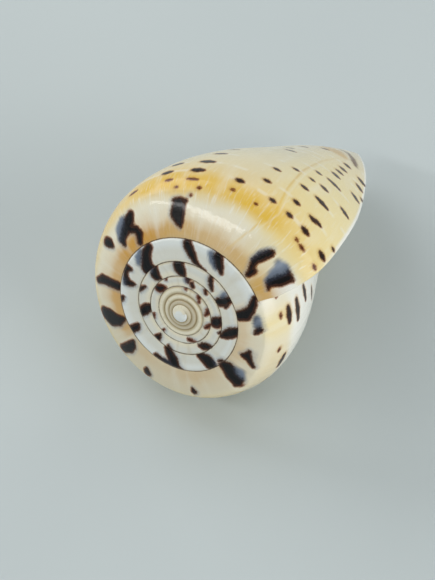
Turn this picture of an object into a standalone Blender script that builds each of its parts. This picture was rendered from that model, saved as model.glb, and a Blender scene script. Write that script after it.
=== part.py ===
"""A cone shell lying on its side: one solid, the shape that a single coiled sheet grows into.

The shell is worked out about its own axis first, with the apex up +Z. A place on it has two names:

turn   how far back from the lip the place grew, in whole turns. The lip edge is at 0, and 1 is one
       turn older, just behind the lip. Going back runs anticlockwise seen from the apex, so the
       shell coils to the right, as cone shells do.
along  how far across the whorl the place is: 0 at the suture, then over the ramp, round the
       shoulder and down the side to 1 at the front end.

At the end the shell is laid on the table, on the side of its last whorl, with the front end to +Y.
"""

import bmesh
import bpy
import numpy as np
from mathutils import Matrix

MM = 0.001

# --- growth of the spiral ---
SUTURE_RADIUS = 16.6 * MM        # from the axis to where the lip meets the spire
GROWTH_RATE = 0.403              # size lost in the first turn back, as a natural logarithm
GROWTH_EASING = -0.060           # how the rate changes from turn to turn
GROWTH_TAIL = 0.020              # and how that change itself changes
WHORLS = 8                       # turns from the lip to the apex
SIDE_GROWTH = 0.41               # rate at which the front end lengthens

# --- outline of the lip: distance from the axis and height below the suture, in millimetres ---
OUTLINE = np.array([
    (16.6, 0.0), (19.2, -1.0), (21.7, -2.3), (23.5, -3.4), (25.3, -5.0), (26.5, -6.7),
    (27.6, -13.0), (26.9, -20.0), (23.8, -31.6), (19.8, -42.5), (12.2, -62.0), (5.2, -74.2),
]) * MM
WIDEST_POINT = 6                 # index of the outline's widest point
RAMP_BLEND_END = 0.17            # along, where the flattening of the old ramps has died out

# --- spire ---
SPIRE_FALL = 0.85 * MM           # height that the suture loses on its way to the lip
SPIRE_FALL_TURNS = 0.8           # turns over which it mostly loses it
APEX_RISE = 2.3 * MM             # extra height of the small pointed top
APEX_SIZE = 0.12                 # whorl size at which the top begins to rise
APEX_CAP = 0.15 * MM             # the worn tip above the last suture

# --- front end: the pillar that the whorls coil round ---
PILLAR_LENGTH = 0.86             # pillar's length as a share of the whole
PILLAR_NARROWING = 0.70          # share of its radius that the old whorls' front end loses
PILLAR_START, PILLAR_SPAN = 0.15, 0.45     # turns over which it narrows
FRONT_END = 0.80                 # along, where the front end begins

# --- lip, wall and hollow ---
LIP_BOW = -0.011                 # turns by which the lip bows forward in the middle
LIP_SWEEP = 0.124                # turns by which it sweeps back at the front end
LIP_WAVE = 0.016                 # turns of its shallow S
WALL_AT_LIP = 0.09               # wall, as a share of the space between two whorls
WALL_DEEP = 0.70                 # the same deep inside, where the hollow has narrowed
WALL_STEP_START, WALL_STEP_SPAN = 0.25, 0.13   # turns over which it thickens
WALL_STEP_DELAY = 0.25           # turns later that it thickens at the front end
CEILING = 0.05                   # along, over which the wall joins the older whorl
CONTACT_BAND = 0.03              # along, width of that joint on the older whorl
CANAL_TURNS = 0.45               # how far back the front end is open
HOLLOW_TURNS = 0.55              # how far back the hollow reaches
FLOOR_RISE = 0.25                # along, by which the hollow's floor lifts at its far end
LIP_ROUNDING = 0.30              # how far the lip edge bulges, as a share of the wall

# --- how it lies ---
REST_SIDE = 237.3                # degrees round from the lip to the line that it rests on
REST_DECLINE = 20.0              # degrees that the axis dips towards the front end

# --- facets ---
TURN_STEPS = 40                  # to one turn
RAMP_ROWS = 3
BAND_ROWS = 4                    # also the facets across the lip edge
SIDE_ROWS = 16

ROWS = RAMP_ROWS + BAND_ROWS + SIDE_ROWS
SEAM_ROW = RAMP_ROWS + BAND_ROWS           # row where the hollow's ceiling begins
CANAL_COLUMN = round(CANAL_TURNS * TURN_STEPS)
HOLLOW_COLUMN = round(HOLLOW_TURNS * TURN_STEPS)
NUDGE = 0.001                    # small step for measuring directions


def ease(x):
    """Smooth step from 0 to 1."""
    x = np.clip(x, 0.0, 1.0)
    return x * x * (3.0 - 2.0 * x)


def unit(vectors):
    """Vectors made one metre long."""
    return vectors / np.maximum(np.linalg.norm(vectors, axis=-1, keepdims=True), 1e-12)


def spline_through(points):
    """Natural cubic spline through points, as a function of the share of chord length passed."""
    steps = np.hypot(*np.diff(points, axis=0).T)
    knots = np.concatenate([[0.0], np.cumsum(steps)]) / steps.sum()
    gaps = np.diff(knots)
    slopes = np.diff(points, axis=0) / gaps[:, None]
    system = np.eye(len(points))
    turning = np.zeros_like(points)
    for i in range(1, len(points) - 1):
        system[i, i - 1:i + 2] = gaps[i - 1], 2.0 * (gaps[i - 1] + gaps[i]), gaps[i]
        turning[i] = 6.0 * (slopes[i] - slopes[i - 1])
    bend = np.linalg.solve(system, turning)

    def curve(share):
        share = np.asarray(share, float)
        i = np.clip(np.searchsorted(knots, share) - 1, 0, len(gaps) - 1)
        gap = gaps[i][..., None]
        before = (share - knots[i])[..., None]
        after = gap - before
        cubic = (bend[i] * after ** 3 + bend[i + 1] * before ** 3) / (6.0 * gap)
        first = (points[i] / gap - bend[i] * gap / 6.0) * after
        last = (points[i + 1] / gap - bend[i + 1] * gap / 6.0) * before
        return cubic + first + last

    return curve, knots


outline, outline_knots = spline_through(OUTLINE)
UPPER_ALONG = np.linspace(0.0, outline_knots[WIDEST_POINT], 400)
UPPER_RADIUS = np.maximum.accumulate(outline(UPPER_ALONG)[:, 0])


def growth(turn):
    """Size of the whorl at turn, against 1 at the lip."""
    rate = GROWTH_RATE * turn + GROWTH_EASING * turn ** 2 / 2.0 + GROWTH_TAIL * turn ** 3 / 6.0
    return np.exp(-rate)


def suture_height(turn):
    """Height of the suture, from 0 at the lip to the small pointed top."""
    past = np.maximum(turn, 0.0)
    fall = SPIRE_FALL * (1.0 - np.exp(-past / SPIRE_FALL_TURNS))
    rise = APEX_RISE * (np.exp(-growth(past) / APEX_SIZE) - np.exp(-1.0 / APEX_SIZE))
    ahead = np.minimum(turn, 0.0) * SPIRE_FALL / SPIRE_FALL_TURNS
    return fall + rise + ahead


def covered_from(turn):
    """Along, where the next whorl's suture lies on the whorl at turn."""
    return np.interp(SUTURE_RADIUS * growth(turn - 1.0) / growth(turn), UPPER_RADIUS, UPPER_ALONG)


def surface(turn, along):
    """Outer surface of the shell: the outline turned about the axis while it shrinks.

    The radius shrinks with growth. The height shrinks with growth near the suture and with
    SIDE_GROWTH at the front, where the pillar keeps the last whorls' ends together. The ramp of
    each older whorl is flattened until it ends on the next whorl's suture.
    """
    turn, along = np.broadcast_arrays(np.asarray(turn, float), np.asarray(along, float))
    size = growth(turn)
    place = outline(along)
    radius = place[..., 0] * size
    height = place[..., 1]

    front = ease((along - FRONT_END) / (1.0 - FRONT_END))
    narrowing = PILLAR_NARROWING * ease((turn - PILLAR_START) / PILLAR_SPAN)
    radius = radius * (1.0 - narrowing * front)

    low = np.clip(-height / (4.0 * SUTURE_RADIUS), 0.0, 1.0)
    side = size * (1.0 - low) + np.exp(-SIDE_GROWTH * turn) * low
    loss = 1.0 - PILLAR_LENGTH
    pillar = PILLAR_LENGTH + loss * np.exp(-SIDE_GROWTH * turn / loss)
    scale = side * (1.0 - front) + pillar * front

    cover = covered_from(turn)
    edge = np.minimum(outline(cover)[..., 1] * size, -1e-9)
    lift = (suture_height(turn - 1.0) - suture_height(turn) - edge) * ease(turn)
    on_ramp = height * size / edge
    past_ramp = 1.0 - ease((along - cover) / (RAMP_BLEND_END - cover))
    lifted = lift * np.where(along <= cover, on_ramp, past_ramp)

    angle = 2.0 * np.pi * turn
    z = suture_height(turn) + height * scale + lifted
    return np.stack([radius * np.cos(angle), radius * np.sin(angle), z], axis=-1)


def lip_turn(along):
    """Turn at which the lip edge lies: a shallow S that sweeps back at the front end."""
    bow = LIP_BOW * np.sin(np.pi * along)
    wave = LIP_WAVE * np.sin(2.0 * np.pi * along)
    return bow + wave + LIP_SWEEP * along ** 2


def row_places(turn):
    """Along of every row at each turn: ramp, band under the next whorl's joint, then side."""
    cover = covered_from(turn)[:, None]
    ramp = cover * np.linspace(0.0, 1.0, RAMP_ROWS + 1)
    band = cover + CONTACT_BAND * np.linspace(0.0, 1.0, BAND_ROWS + 1)[1:]
    seam = cover + CONTACT_BAND
    side = seam + (1.0 - seam) * np.linspace(0.0, 1.0, SIDE_ROWS + 1)[1:]
    return np.concatenate([ramp, band, side], axis=1)


def rounded_edge(outer, inner, outward, bulge):
    """Strip from outer to inner points: half ellipses that bulge along outward."""
    half = (outer - inner) / 2.0
    depth = np.linalg.norm(outer - inner, axis=-1, keepdims=True) * bulge[:, None]
    angles = np.linspace(0.0, np.pi, BAND_ROWS + 1)
    arcs = [(outer + inner) / 2.0 + half * np.cos(a) + outward * depth * np.sin(a) for a in angles]
    return np.stack(arcs, axis=1)


def last_whorl():
    """Outside of the last turn, from the lip back to where it passes under the lip."""
    column = np.arange(TURN_STEPS + 1)[:, None] / TURN_STEPS
    along = row_places(column[:, 0])
    turn = column + lip_turn(along) * (1.0 - column)
    points = surface(turn, along)
    points[-1, RAMP_ROWS] = points[0, 0]
    return points, turn, along


def spire(last_column):
    """Ramps of the older whorls, each running out to the suture of the whorl after it."""
    turn = np.arange(TURN_STEPS, WHORLS * TURN_STEPS + 1) / TURN_STEPS
    points = surface(turn[:, None], row_places(turn)[:, :RAMP_ROWS + 1])
    points[:, -1] = surface(turn - 1.0, 0.0)
    points[0] = last_column
    return points


def inner_whorl(last_column):
    """Older whorl inside the aperture, down to the pillar, as far back as the hollow goes."""
    turn = np.arange(HOLLOW_COLUMN + 1)[:, None] / TURN_STEPS
    rows = row_places(1.0 + turn[:, 0])[:, SEAM_ROW:]
    seam = rows[:, :1]
    share = (rows - seam) / (1.0 - seam)
    along = seam + share * (hollow_floor(turn) - seam)
    skew = lip_turn(share) * (1.0 - turn) * ease(turn / CANAL_TURNS)
    points = surface(1.0 + turn + skew, along)
    points[0] = last_column
    return points


def hollow_floor(turn):
    """Along of the hollow's floor: the front end, lifting where the hollow runs out."""
    return 1.0 - FLOOR_RISE * ease((turn - CANAL_TURNS) / (HOLLOW_TURNS - CANAL_TURNS))


def inner_wall(turn, along, older):
    """Inner face of the wall: a share of the way from the outer surface to the older whorl."""
    turn = turn[:HOLLOW_COLUMN + 1]
    along = along[:HOLLOW_COLUMN + 1]
    column = np.arange(HOLLOW_COLUMN + 1)[:, None] / TURN_STEPS
    floor = hollow_floor(column)
    outside = surface(turn, along * floor)
    seam = row_places(1.0 + column[:, 0])[:, SEAM_ROW:SEAM_ROW + 1]
    inside = surface(1.0 + turn, seam + along * (floor - seam))

    delay = WALL_STEP_DELAY * ease((along - FRONT_END) / (1.0 - FRONT_END))
    deep = ease((turn - WALL_STEP_START - delay) / WALL_STEP_SPAN)
    wall = WALL_AT_LIP + (WALL_DEEP - WALL_AT_LIP) * deep
    wall = wall + (1.0 - wall) * np.exp(-along / CEILING)
    closing = ease((along - 0.9) / 0.1) * ease((column - CANAL_TURNS) / 0.12 + 1.0)
    wall = wall + (1.0 - wall) * closing

    points = outside + wall[..., None] * (inside - outside)
    points[:, 0] = older[:, 0]
    points[CANAL_COLUMN:, -1] = older[CANAL_COLUMN:, -1]
    return points


def lip_edge(outer, turn, along, inner, contact):
    """Rounded edge of the lip; its first row lies on the older whorl, where the lip joins it."""
    forward = unit(surface(turn - NUDGE, along) - surface(turn + NUDGE, along))
    down = unit(surface(turn, along) - surface(turn, along - NUDGE))
    corner = ease((along - 0.93) / 0.07)[:, None]
    outward = unit(forward * (1.0 - corner / 2.0) + down * corner)
    strip = rounded_edge(outer, inner, outward, LIP_ROUNDING * ease(along / CEILING))
    strip[0] = contact
    return strip, forward[-1]


def canal_rim(outer, turn, inner, forward, corner):
    """Rounded rim of the open front end, from the lip's corner to the back of the canal."""
    column = np.arange(CANAL_COLUMN + 1) / TURN_STEPS
    down = unit(surface(turn, 1.0) - surface(turn, 1.0 - NUDGE))
    outward = unit(down + 0.5 * forward * np.exp(-column / 0.03)[:, None])
    bulge = LIP_ROUNDING * (1.0 - 0.8 * ease((column - CANAL_TURNS) / 0.1 + 1.0))
    strip = rounded_edge(outer, inner, outward, bulge)
    strip[0] = corner
    return strip


def fan(ring, centre):
    """Closed fan of triangles from a centre to a ring, as a grid two points wide."""
    ring = np.concatenate([ring, ring[:1]])
    return np.stack([np.broadcast_to(centre, ring.shape), ring], axis=1)


def hollow_end(wall, older):
    """Triangles between two lines of points that start and end together."""
    triangles = []
    i = j = 0
    while i < len(wall) - 1 or j < len(older) - 1:
        step_wall = j == len(older) - 1
        step_wall |= i < len(wall) - 1 and (i + 1) * (len(older) - 1) <= (j + 1) * (len(wall) - 1)
        if step_wall:
            triangles.append((wall[i], wall[i + 1], older[j]))
            i += 1
        else:
            triangles.append((wall[i], older[j + 1], older[j]))
            j += 1
    return np.array(triangles)


def shell_surfaces():
    """Every stretch of the shell's skin, as grids of points, and the loose end triangles."""
    outer, turn, along = last_whorl()
    whorls = spire(outer[-1, :RAMP_ROWS + 1])
    older = inner_whorl(outer[-1, SEAM_ROW:])
    wall = inner_wall(turn, along, older)
    contact = outer[-1, RAMP_ROWS:SEAM_ROW + 1]
    lip, forward = lip_edge(outer[0], turn[0], along[0], wall[0], contact)
    canal = slice(0, CANAL_COLUMN + 1)
    rim = canal_rim(outer[canal, -1], turn[canal, -1], wall[canal, -1], forward, lip[-1])

    pillar_ring = np.concatenate([
        outer[CANAL_COLUMN:, -1], older[1:CANAL_COLUMN + 1, -1], rim[-1, ::-1][1:-1]])
    foot = fan(pillar_ring, pillar_ring.mean(axis=0))
    first_turn = (WHORLS - 1) * TURN_STEPS
    apex_ring = np.concatenate([
        surface(np.arange(first_turn, first_turn + TURN_STEPS + 1) / TURN_STEPS, 0.0),
        whorls[-1, 1:-1]])
    top = suture_height(np.array(float(WHORLS))) + APEX_CAP
    apex = fan(apex_ring, np.array([0.0, 0.0, top]))
    return [outer, whorls, older, wall, lip, rim, foot, apex], hollow_end(wall[-1], older[-1])


def laid_down():
    """Turn from the shell's own frame to the table's, with the front end towards +Y."""
    side = np.radians(REST_SIDE)
    dip = np.radians(REST_DECLINE)
    down = np.array([np.cos(dip) * np.cos(side), np.cos(dip) * np.sin(side), -np.sin(dip)])
    ahead = np.array([0.0, 0.0, -1.0])
    ahead = unit(ahead - down * (ahead @ down))
    return np.stack([np.cross(ahead, -down), ahead, -down])


def build_mesh():
    """One closed mesh from the grids, laid down, with its box's bottom centre at the origin."""
    grids, loose = shell_surfaces()
    points, faces = [], []
    start = 0
    for grid in grids:
        columns, rows = grid.shape[:2]
        i, j = np.meshgrid(np.arange(columns - 1), np.arange(rows - 1), indexing="ij")
        corner = start + i * rows + j
        quads = np.stack([corner, corner + 1, corner + rows + 1, corner + rows], axis=-1)
        faces.extend(quads.reshape(-1, 4).tolist())
        points.append(grid.reshape(-1, 3))
        start += columns * rows
    faces.extend((start + np.arange(len(loose) * 3).reshape(-1, 3)).tolist())
    points.append(loose.reshape(-1, 3))

    placed = np.concatenate(points) @ laid_down().T
    low, high = placed.min(axis=0), placed.max(axis=0)
    placed -= np.array([(low[0] + high[0]) / 2.0, (low[1] + high[1]) / 2.0, low[2]])

    mesh = bpy.data.meshes.new("cone_shell")
    mesh.from_pydata(placed.tolist(), [], faces)
    work = bmesh.new()
    work.from_mesh(mesh)
    bmesh.ops.remove_doubles(work, verts=work.verts, dist=0.002 * MM)
    bmesh.ops.dissolve_degenerate(work, edges=work.edges, dist=0.001 * MM)
    bmesh.ops.triangulate(work, faces=work.faces)
    bmesh.ops.recalc_face_normals(work, faces=work.faces)
    work.to_mesh(mesh)
    work.free()
    return mesh


def porcelain():
    """Pale cream, glossy shell."""
    material = bpy.data.materials.new("cream_shell")
    material.use_nodes = True
    shader = material.node_tree.nodes["Principled BSDF"]
    shader.inputs["Base Color"].default_value = (0.84, 0.74, 0.50, 1.0)
    shader.inputs["Roughness"].default_value = 0.28
    shader.inputs["Metallic"].default_value = 0.0
    return material


def main():
    for old in list(bpy.data.objects):
        bpy.data.objects.remove(old, do_unlink=True)
    collection = bpy.data.collections.new("cone_shell")
    bpy.context.scene.collection.children.link(collection)
    mesh = build_mesh()
    mesh.materials.append(porcelain())
    mesh.shade_smooth()
    mesh.set_sharp_from_angle(angle=np.radians(40.0))
    shell = bpy.data.objects.new("cone_shell", mesh)
    shell.matrix_world = Matrix.Identity(4)
    collection.objects.link(shell)


main()
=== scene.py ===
"""The looks of a cone shell that lies on its side: one finely worked, painted surface and a small studio.

The shell is worked out about its own axis first, with the apex up +Z. A place on it has two names:

turn   how far back from the lip the place grew, in whole turns. The lip edge is at 0, and 1 is one turn
       older, just behind the lip. Going back runs anticlockwise seen from the apex.
along  how far across the whorl the place is: 0 at the suture, then over the ramp, round the shoulder
       and down the side to 1 at the front end.

The age of a place is its turn less the lip's own turn at that along, so a growth line has one age.

In the arrays below, a place on the surface is six numbers: x, y, z, turn, along, and how far inside the
mouth it is, from 0 outside to 1 inside. At the end the shell is laid on the table where the solid lies.
"""

import bmesh
import bpy
import numpy as np
from mathutils import Matrix, Vector


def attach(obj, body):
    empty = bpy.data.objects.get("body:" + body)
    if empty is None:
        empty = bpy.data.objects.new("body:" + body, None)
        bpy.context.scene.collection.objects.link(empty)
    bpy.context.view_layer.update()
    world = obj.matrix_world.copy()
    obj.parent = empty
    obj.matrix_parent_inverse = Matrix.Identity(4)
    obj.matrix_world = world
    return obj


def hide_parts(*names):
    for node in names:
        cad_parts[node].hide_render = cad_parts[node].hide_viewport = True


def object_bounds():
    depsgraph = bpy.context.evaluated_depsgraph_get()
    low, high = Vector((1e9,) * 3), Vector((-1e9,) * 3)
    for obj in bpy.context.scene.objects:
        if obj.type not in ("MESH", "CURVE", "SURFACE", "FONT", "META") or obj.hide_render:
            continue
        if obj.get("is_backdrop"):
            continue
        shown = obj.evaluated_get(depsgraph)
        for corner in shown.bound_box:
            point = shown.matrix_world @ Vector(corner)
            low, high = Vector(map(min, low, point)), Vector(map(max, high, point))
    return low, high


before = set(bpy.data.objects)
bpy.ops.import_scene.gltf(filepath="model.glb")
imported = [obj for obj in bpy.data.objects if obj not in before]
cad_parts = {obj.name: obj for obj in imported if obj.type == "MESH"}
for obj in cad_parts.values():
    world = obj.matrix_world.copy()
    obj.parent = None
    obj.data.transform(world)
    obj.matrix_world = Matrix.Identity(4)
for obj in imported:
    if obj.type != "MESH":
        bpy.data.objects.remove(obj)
SOLID_LOW, SOLID_HIGH = (np.array(corner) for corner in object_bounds())

MM = 0.001

# growth of the spiral, as in the solid
SUTURE_RADIUS = 16.6 * MM  # from the axis to where the lip meets the spire
GROWTH_RATE = 0.403    # size lost in the first turn back, as a natural logarithm
GROWTH_EASING = -0.06  # how the rate changes from turn to turn
GROWTH_TAIL = 0.02     # and how that change itself changes
WHORLS = 8             # turns from the lip to the apex
SIDE_GROWTH = 0.41     # rate at which the front end lengthens

# outline of the lip: distance from the axis and height below the suture, in millimetres
OUTLINE = np.array([
    (16.6, 0.0), (19.2, -1.0), (21.7, -2.3), (23.5, -3.4), (25.3, -5.0), (26.5, -6.7),
    (27.6, -13.0), (26.9, -20.0), (23.8, -31.6), (19.8, -42.5), (12.2, -62.0), (5.2, -74.2),
]) * MM
WIDEST_POINT = 6       # index of the outline's widest point
UPPER_POINTS = 400     # at which the outline's upper part is looked up
RAMP_BLEND_END = 0.17  # along, where the flattening of the old ramps has died out

# spire
SPIRE_FALL = 0.85 * MM  # height that the suture loses on its way to the lip
SPIRE_FALL_TURNS = 0.8  # turns over which it mostly loses it
APEX_RISE = 2.3 * MM    # extra height of the small pointed top
APEX_SIZE = 0.12        # whorl size at which the top begins to rise
APEX_CAP = 0.15 * MM    # the worn tip above the last suture

# front end: the pillar that the whorls coil round
PILLAR_LENGTH = 0.86    # pillar's length as a share of the whole
PILLAR_NARROWING = 0.7  # share of its radius that the old whorls' front end loses
PILLAR_NARROWS = (0.15, 0.6)  # turns between which it narrows
FRONT_END = 0.8         # along, where the front end begins

# lip, wall and hollow
LIP_BOW = -0.011      # turns by which the lip bows forward in the middle
LIP_SWEEP = 0.124     # turns by which it sweeps back at the front end
LIP_WAVE = 0.016      # turns of its shallow S
WALL_AT_LIP = 0.09    # wall, as a share of the space between two whorls
WALL_DEEP = 0.7       # the same deep inside, where the hollow has narrowed
WALL_THICKENS = (0.25, 0.38)  # turns between which it thickens
WALL_DELAY = 0.25     # turns later that it thickens at the front end
CEILING = 0.05        # along, over which the wall joins the older whorl
CONTACT_BAND = 0.03   # along, width of that joint on the older whorl
CANAL_TURNS = 0.45    # how far back the front end is open
HOLLOW_TURNS = 0.55   # how far back the hollow reaches
FLOOR_RISE = 0.25     # along, by which the hollow's floor lifts at its far end
LIP_ROUNDING = 0.3    # how far the lip edge bulges, as a share of the wall
CORNER_FROM = 0.93    # along, where the lip's edge begins to turn down at the corner
CORNER_TURNS = 0.03   # turns over which the rim of the front end stops facing forward
CLOSING_TURNS = 0.12  # turns over which the front end closes, at the back of the canal
MOUTH_FADE = 0.06     # turns over which the older whorl takes the mouth's colour

# how it lies
REST_SIDE = 237.3    # degrees round from the lip to the line that it rests on
REST_DECLINE = 20.0  # degrees that the axis dips towards the front end

# rows of small spots on the side: along
SPOT_ROWS = (0.185, 0.24, 0.32, 0.39, 0.465, 0.54, 0.59, 0.635, 0.68, 0.73, 0.78, 0.84, 0.9)

# how fine the surface is
TURN_STEPS = 330      # to one turn, on the last whorl and the outer spire
OLD_TURN_STEPS = 110  # to one turn, on the oldest whorls
OLD_FROM = 4          # turn from which they count as oldest
INNER_STEPS = 60      # to one turn, inside the mouth and along the front end
RAMP_ROWS = 26
OLD_ROWS = 10
BAND_ROWS = 8         # also the facets across the lip edge
SHOULDER_ROWS = 11
ROW_STEP = 0.0062     # along, between rows on the side
INNER_ROWS = 42
INNER_CROWDING = 1.3  # power that crowds the inner rows at the hollow's ceiling
ROW_CROWDING = 0.55   # how much rows crowd at sutures and at rows of spots
SEAM_ROW = RAMP_ROWS + BAND_ROWS  # row where the hollow's ceiling begins
CANAL_COLUMN = round(CANAL_TURNS * INNER_STEPS)
HOLLOW_COLUMN = round(HOLLOW_TURNS * INNER_STEPS)
NUDGE = 0.001         # small step for measuring directions
TINY = 1e-12          # keeps a division clear of zero
MERGE_DISTANCE = 0.002 * MM  # below which two places become one

# relief
GROOVE_DEPTH = 0.1 * MM  # of the groove along a suture
GROOVE_WIDTH = 0.3 * MM
SMALL_RAMP = 2.5 * MM    # ramp width below which the relief shrinks with it
STEP_HEIGHT = 0.2 * MM   # by which an older ramp's outer edge stands proud
OLD_RIDGE = 0.14 * MM    # by which the oldest ramps bulge
RIPPLE_HEIGHT = 0.012 * MM  # of the growth ripples
SCAR_HEIGHT = 0.09 * MM  # of the step at the growth scar
SCAR_STEP = 0.25 * MM    # half the step's width
RIPPLE_SEED = 5
RIPPLES_PER_TURN = (23, 31, 44, 58, 71, 89)
SCAR_DEGREES = (40, 36, 34, 38, 41, 42, 38, 36, 34)  # back from the lip, at the next line's places
SCAR_ALONG = (0.0, 0.09, 0.16, 0.25, 0.4, 0.59, 0.74, 0.9, 1.0)


# ==== The shape, as in the solid ====

def rise(value, start, end):
    """Eases from 0 where value is start to 1 where it is end, with a cubic that is level there."""
    x = np.clip((value - start) / (end - start), 0.0, 1.0)
    return x * x * (3.0 - 2.0 * x)


def unit(vectors):
    """Vectors made one metre long."""
    return vectors / np.maximum(np.linalg.norm(vectors, axis=-1, keepdims=True), TINY)


def spline_through(points):
    """Natural cubic spline through points, as a function of the share of chord length passed."""
    steps = np.hypot(*np.diff(points, axis=0).T)
    knots = np.concatenate([[0.0], np.cumsum(steps)]) / steps.sum()
    gaps = np.diff(knots)
    slopes = np.diff(points, axis=0) / gaps[:, None]
    system = np.eye(len(points))
    turning = np.zeros_like(points)
    for i in range(1, len(points) - 1):
        system[i, i - 1:i + 2] = gaps[i - 1], 2.0 * (gaps[i - 1] + gaps[i]), gaps[i]
        turning[i] = 6.0 * (slopes[i] - slopes[i - 1])
    bend = np.linalg.solve(system, turning)

    def curve(share):
        share = np.asarray(share, float)
        i = np.clip(np.searchsorted(knots, share) - 1, 0, len(gaps) - 1)
        gap = gaps[i][..., None]
        before = (share - knots[i])[..., None]
        after = gap - before
        cubic = (bend[i] * after ** 3 + bend[i + 1] * before ** 3) / (6.0 * gap)
        first = (points[i] / gap - bend[i] * gap / 6.0) * after
        last = (points[i + 1] / gap - bend[i + 1] * gap / 6.0) * before
        return cubic + first + last

    return curve, knots


outline, outline_knots = spline_through(OUTLINE)
UPPER_ALONG = np.linspace(0.0, outline_knots[WIDEST_POINT], UPPER_POINTS)
UPPER_RADIUS = np.maximum.accumulate(outline(UPPER_ALONG)[:, 0])


def growth(turn):
    """Size of the whorl at turn, against 1 at the lip: e to the power of minus a cubic in turn."""
    rate = GROWTH_RATE * turn + GROWTH_EASING * turn ** 2 / 2.0 + GROWTH_TAIL * turn ** 3 / 6.0
    return np.exp(-rate)


def suture_height(turn):
    """Height of the suture, from 0 at the lip to the small pointed top."""
    past = np.maximum(turn, 0.0)
    fall = SPIRE_FALL * (1.0 - np.exp(-past / SPIRE_FALL_TURNS))
    top = APEX_RISE * (np.exp(-growth(past) / APEX_SIZE) - np.exp(-1.0 / APEX_SIZE))
    ahead = np.minimum(turn, 0.0) * SPIRE_FALL / SPIRE_FALL_TURNS
    return fall + top + ahead


def covered_from(turn):
    """Along, where the next whorl's suture lies on the whorl at turn."""
    return np.interp(SUTURE_RADIUS * growth(turn - 1.0) / growth(turn), UPPER_RADIUS, UPPER_ALONG)


def surface(turn, along):
    """Smooth outer surface: the outline turned about the axis while it shrinks by growth.

    The radius shrinks with growth. The height shrinks with growth near the suture and with
    SIDE_GROWTH at the front, where the pillar keeps the last whorls' ends together. The ramp of
    each older whorl is flattened until it ends on the next whorl's suture.
    """
    turn, along = np.broadcast_arrays(np.asarray(turn, float), np.asarray(along, float))
    size = growth(turn)
    radius, height = np.moveaxis(outline(along), -1, 0)
    radius = radius * size

    front = rise(along, FRONT_END, 1.0)
    narrowing = PILLAR_NARROWING * rise(turn, *PILLAR_NARROWS)
    radius = radius * (1.0 - narrowing * front)

    low = np.clip(-height / (4.0 * SUTURE_RADIUS), 0.0, 1.0)
    side = size * (1.0 - low) + np.exp(-SIDE_GROWTH * turn) * low
    loss = 1.0 - PILLAR_LENGTH
    pillar = PILLAR_LENGTH + loss * np.exp(-SIDE_GROWTH * turn / loss)
    scale = side * (1.0 - front) + pillar * front

    cover = covered_from(turn)
    edge = np.minimum(outline(cover)[..., 1] * size, -TINY)
    lift = (suture_height(turn - 1.0) - suture_height(turn) - edge) * rise(turn, 0.0, 1.0)
    on_ramp = height * size / edge
    past_ramp = 1.0 - rise(along, cover, RAMP_BLEND_END)
    lifted = lift * np.where(along <= cover, on_ramp, past_ramp)

    angle = 2.0 * np.pi * turn
    z = suture_height(turn) + height * scale + lifted
    return np.stack([radius * np.cos(angle), radius * np.sin(angle), z], axis=-1)


def lip_turn(along):
    """Turn at which the lip edge lies: a shallow S that sweeps back at the front end."""
    bow = LIP_BOW * np.sin(np.pi * along)
    wave = LIP_WAVE * np.sin(2.0 * np.pi * along)
    return bow + wave + LIP_SWEEP * along ** 2


# ==== Relief: the small steps, grooves and ripples that the surface carries ====

def outward(turn, along):
    """Direction straight out of the surface: the cross product of its two small steps."""
    older = surface(turn + NUDGE, along) - surface(turn - NUDGE, along)
    down = surface(turn, along + NUDGE) - surface(turn, along - NUDGE)
    return unit(np.cross(down, older))


def from_scar(turn, along):
    """Distance behind the growth scar, in metres round the whorl, negative towards the lip."""
    scar = np.interp(along, SCAR_ALONG, SCAR_DEGREES) / 360.0
    radius = np.linalg.norm(surface(turn, along)[..., :2], axis=-1)
    return (turn - scar) * 2.0 * np.pi * radius


def ripples(turn, along):
    """Growth ripples: a sum of sines of the place's age, with drifting strength."""
    age = turn - lip_turn(along)
    draw = np.random.default_rng(RIPPLE_SEED)
    total = 0.0
    for per_turn in RIPPLES_PER_TURN:
        phase, drift = draw.uniform(0.0, 2.0 * np.pi, 2)
        strength = 1.0 + 0.5 * np.sin(9.0 * along + 5.0 * age + drift)
        total = total + strength * np.sin(2.0 * np.pi * per_turn * age + phase)
    return total / 3.0


def from_sutures(turn, along):
    """Share of the way across the ramp, and distances to its inner and outer sutures."""
    cover = covered_from(turn)
    across = along / cover
    width = np.linalg.norm(surface(turn, cover) - surface(turn, 0.0 * turn), axis=-1)
    return across, across * width, (1.0 - across) * width


def relief(turn, along):
    """Height of the relief: grooves by the sutures, steps, old ridges, ripples and the scar.

    A groove is a bell-shaped dip in a surface that is otherwise lifted by its depth. A step is
    an eased rise towards the ramp's outer edge that ends in the groove.
    """
    across, inner, outer = from_sutures(turn, along)
    older = rise(turn, 0.98, 1.08)
    small = np.clip((inner + outer) / SMALL_RAMP, 0.0, 1.0)
    from_inner = 1.0 - np.exp(-(inner / (GROOVE_WIDTH * small)) ** 2)
    from_outer = 1.0 - rise(turn, 0.95, 1.0) * np.exp(-(outer / (GROOVE_WIDTH * small)) ** 2)
    free = from_inner * from_outer
    step = STEP_HEIGHT * older * rise(across, 0.35, 0.85)
    ridge = OLD_RIDGE * rise(turn, 2.8, 4.3) * np.sin(np.pi * np.clip(across, 0.0, 1.0))
    lift = GROOVE_DEPTH * (1.0 - rise(along, 0.1, 0.35))
    scar = SCAR_HEIGHT * (1.0 - rise(from_scar(turn, along), -SCAR_STEP, SCAR_STEP))
    scar = scar * (1.0 - rise(turn, 0.02, 0.18)) * rise(along, 0.02, 0.07)
    fading = (1.0 - rise(along, 0.9, 1.0)) * (1.0 - rise(turn, 6.9, 7.5))
    height = small * (lift + step + ridge + RIPPLE_HEIGHT * ripples(turn, along)) - scar
    return height * free * fading


# ==== The shell's skin, as grids of places ====

def even(count):
    """Shares from 0 to 1 in count equal steps."""
    return np.arange(count + 1) / count


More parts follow.
